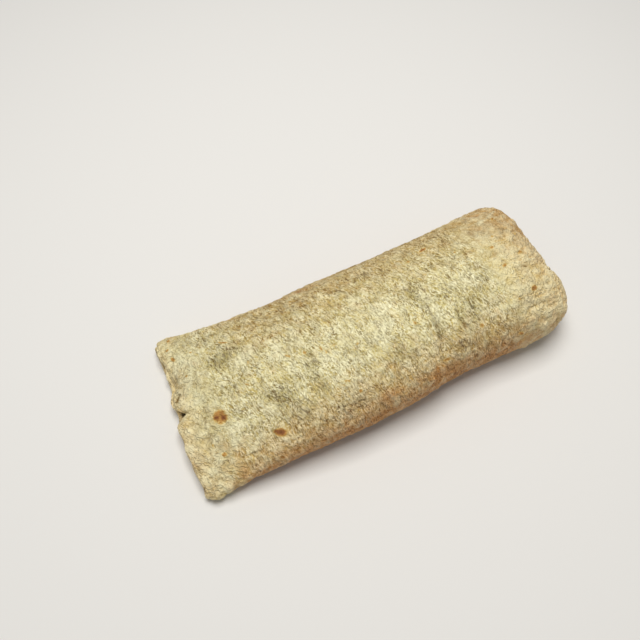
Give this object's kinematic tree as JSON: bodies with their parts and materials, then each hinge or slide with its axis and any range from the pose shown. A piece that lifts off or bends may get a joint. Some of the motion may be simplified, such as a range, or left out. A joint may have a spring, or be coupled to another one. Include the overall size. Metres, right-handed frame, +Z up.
{
  "type": "burrito",
  "caption": "Whole rolled flour tortilla, shut at both ends, one end pressed wide and thin and the other plump, lying on its flat seam side.",
  "frame": {"origin": "centre of the bounding box seen from above, at the level of the table it lies on", "axes": "+X along the roll from the pressed, wide end to the plump end, +Y across it from the front side to the back side, +Z up"},
  "size_m": [0.2354, 0.102, 0.0467],
  "materials": {
    "tortilla": "matt, mottled pale cream flour tortilla with small toasted spots, rough and slightly blistered"
  },
  "bodies": {
    "root": {"burrito": "tortilla"}
  },
  "joints": []
}
